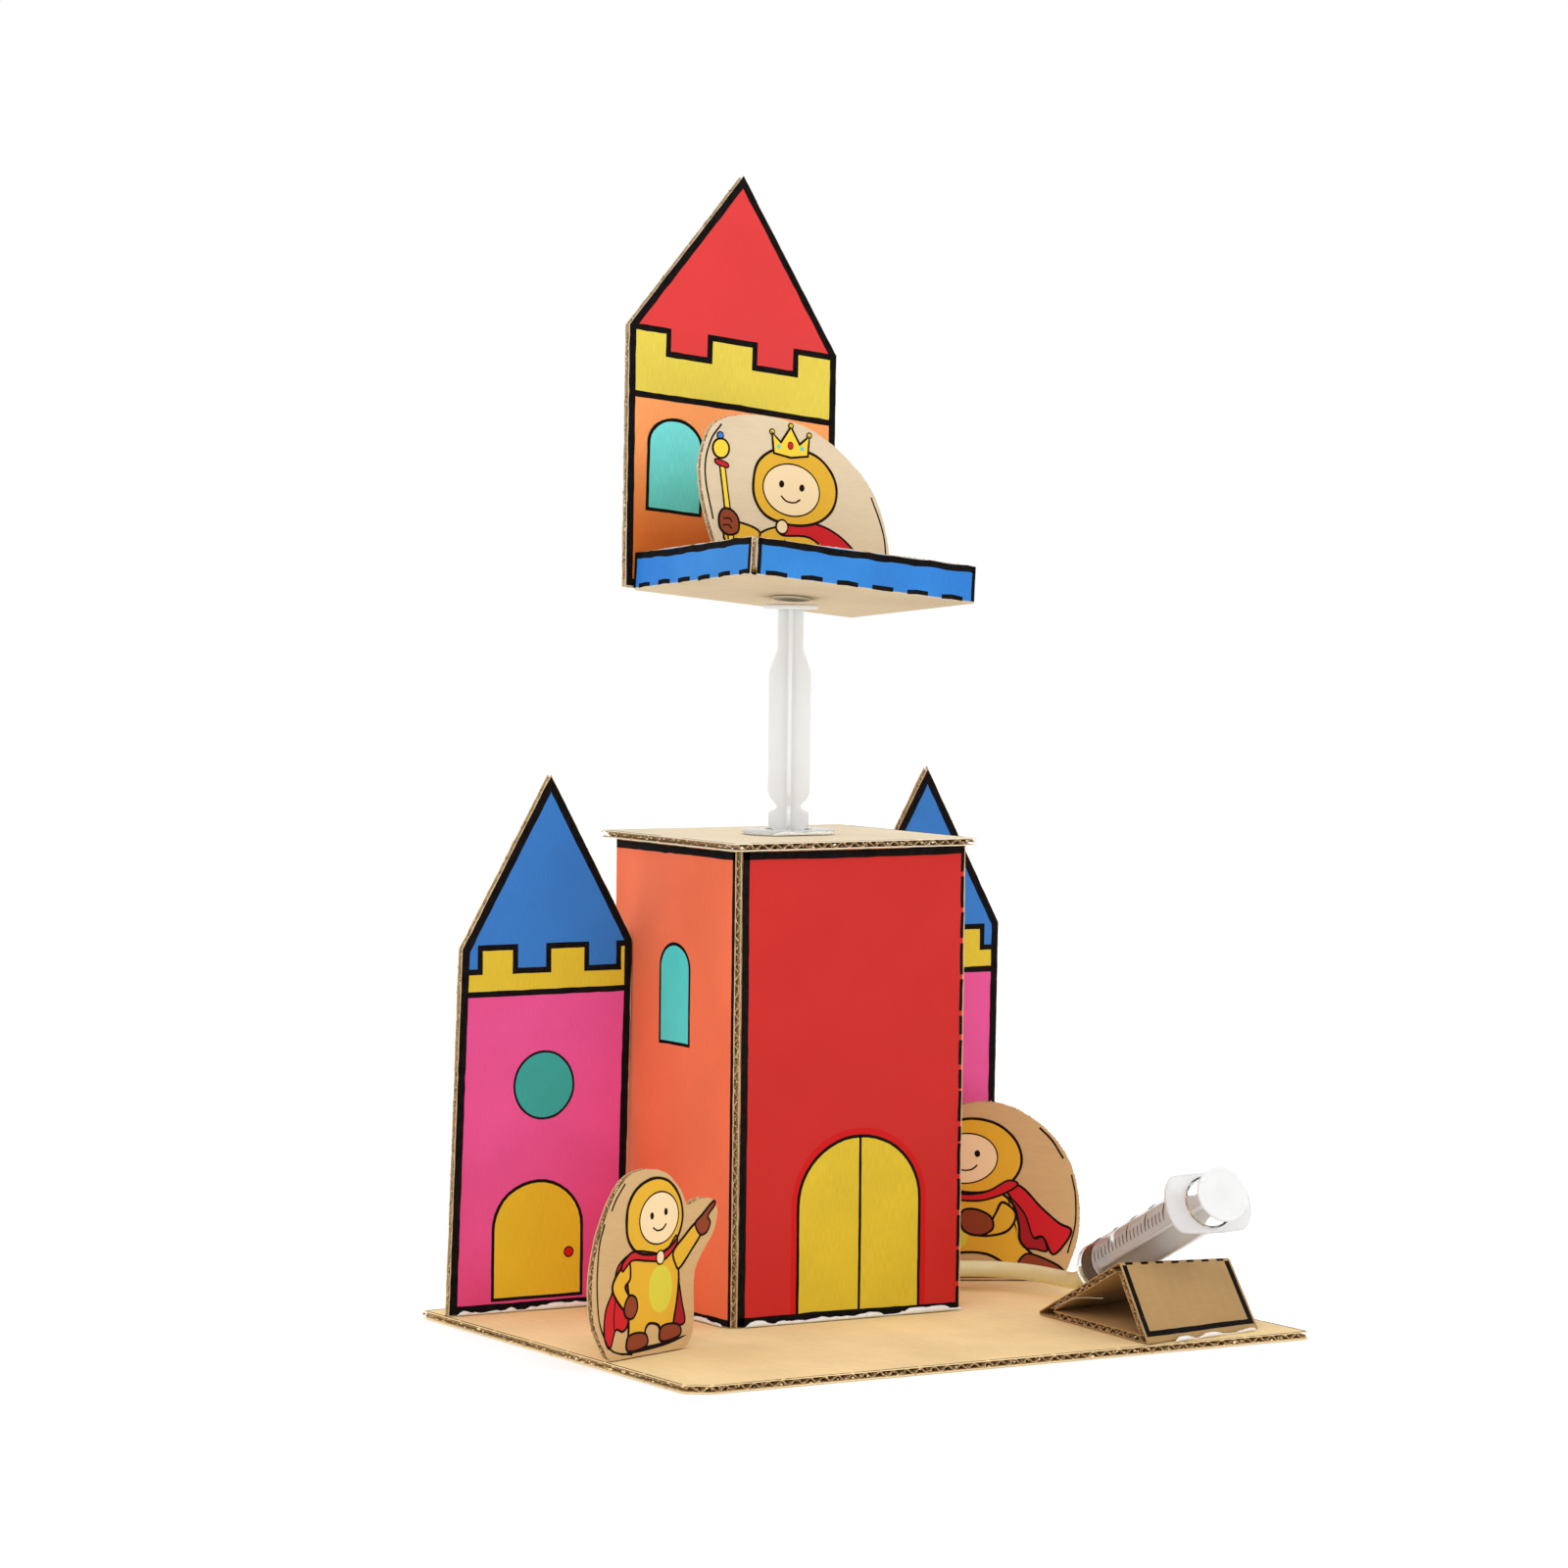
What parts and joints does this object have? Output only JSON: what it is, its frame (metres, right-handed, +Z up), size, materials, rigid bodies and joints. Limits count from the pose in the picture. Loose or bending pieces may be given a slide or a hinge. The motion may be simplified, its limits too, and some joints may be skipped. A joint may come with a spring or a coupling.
{
  "type": "hydraulic castle lift model",
  "caption": "Cardboard castle model whose throne room rides up and down on a syringe, driven through a tube by a second syringe on a stand.",
  "frame": {"origin": "centre of the base board's underside", "axes": "+Z up, +Y from the castle gate to its back, +X to the right of the gate, towards the hand syringe"},
  "size_m": [0.3019, 0.2428, 0.4763],
  "materials": {
    "base_board": "matte",
    "keep_board": "satin",
    "lid_board": "matte",
    "tower_board": "satin",
    "tray_board": "satin",
    "backdrop_board": "satin",
    "standee_board": "matte",
    "stand_board": "matte",
    "barrel_plastic": "gloss",
    "plunger_plastic": "satin",
    "seal_rubber": "satin",
    "tube_plastic": "gloss",
    "hot_glue": "satin"
  },
  "bodies": {
    "castle": {"base_plate": "base_board", "keep_walls": "keep_board", "keep_lid": "lid_board", "left_tower": "tower_board", "right_tower": "tower_board", "herald_standee": "standee_board", "runner_standee": "standee_board", "syringe_stand": "stand_board", "lift_barrel": "barrel_plastic", "hand_barrel": "barrel_plastic", "hydraulic_tube": "tube_plastic", "glue_keep_front": "hot_glue", "glue_keep_left": "hot_glue", "glue_keep_right": "hot_glue", "glue_keep_seam": "hot_glue", "glue_left_tower": "hot_glue", "glue_left_tower_back": "hot_glue", "glue_right_tower": "hot_glue", "glue_right_tower_back": "hot_glue", "glue_herald": "hot_glue", "glue_runner": "hot_glue", "glue_stand": "hot_glue", "glue_lift_flange": "hot_glue"},
    "lift_ram": {"lift_seal": "seal_rubber"},
    "lift_carriage": {"lift_plunger": "plunger_plastic", "lift_tray": "tray_board", "lift_backdrop": "backdrop_board", "king_standee": "standee_board", "glue_king": "hot_glue", "glue_backdrop": "hot_glue", "glue_tray_corner": "hot_glue", "glue_thumb_plate": "hot_glue"},
    "hand_ram": {"hand_seal": "seal_rubber"},
    "hand_rod": {"hand_plunger": "plunger_plastic"}
  },
  "joints": [
    {"name": "lift_slide", "type": "slide", "parent": "castle", "child": "lift_ram", "axis": [0, 0, 1], "range_m": [-0.08, 0]},
    {"name": "lift_swivel", "type": "hinge", "parent": "lift_ram", "child": "lift_carriage", "pos_m": [-0.00635, 0.0521, 0.1953], "axis": [0, 0, 1], "continuous": true},
    {"name": "hand_slide", "type": "slide", "parent": "castle", "child": "hand_ram", "axis": [-0.0797, -0.9108, 0.4051], "range_m": [0, 0.08]},
    {"name": "hand_swivel", "type": "hinge", "parent": "hand_ram", "child": "hand_rod", "pos_m": [0.10105, -0.0226, 0.0206], "axis": [-0.0797, -0.9108, 0.4051], "continuous": true}
  ],
  "couplings": [
    {"joint": "hand_slide", "follows": "lift_slide", "ratio": -1}
  ]
}
